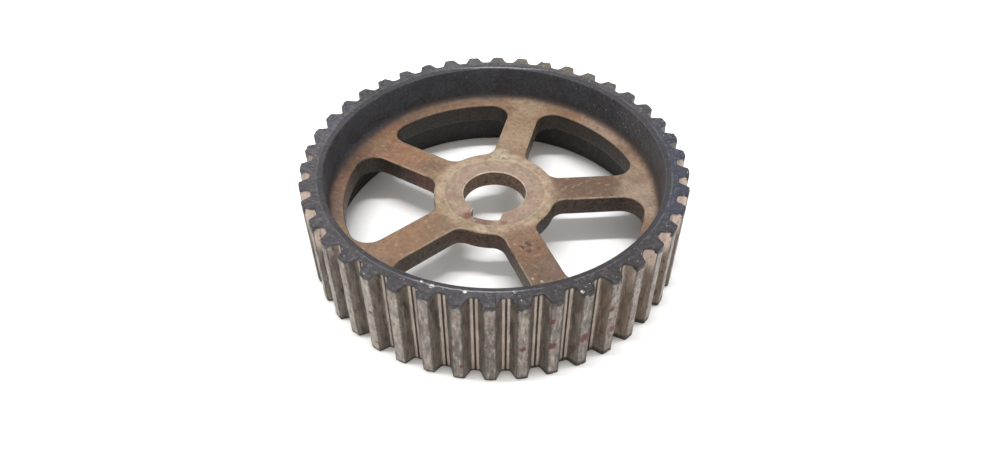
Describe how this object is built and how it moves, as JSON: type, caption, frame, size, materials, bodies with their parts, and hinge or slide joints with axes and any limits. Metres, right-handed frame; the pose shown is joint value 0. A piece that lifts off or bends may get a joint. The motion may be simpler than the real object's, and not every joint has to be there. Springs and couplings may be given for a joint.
{
  "type": "timing belt pulley",
  "caption": "Toothed camshaft pulley for a synchronous belt: wide rim with straight teeth, recessed spoked web, and a bored hub with a broad keyway.",
  "frame": {"origin": "on the shaft axis, at the lower end of the rim", "axes": "+Z along the shaft axis, towards the side with the bolt washer's seat; -Y through the middle of the keyway"},
  "size_m": [0.1056, 0.1054, 0.028],
  "materials": {
    "sintered_steel": "steam-oxidised and oil-stained sintered steel, worn bright along the belt tracks"
  },
  "bodies": {
    "root": {"timing_pulley": "sintered_steel"}
  },
  "joints": []
}
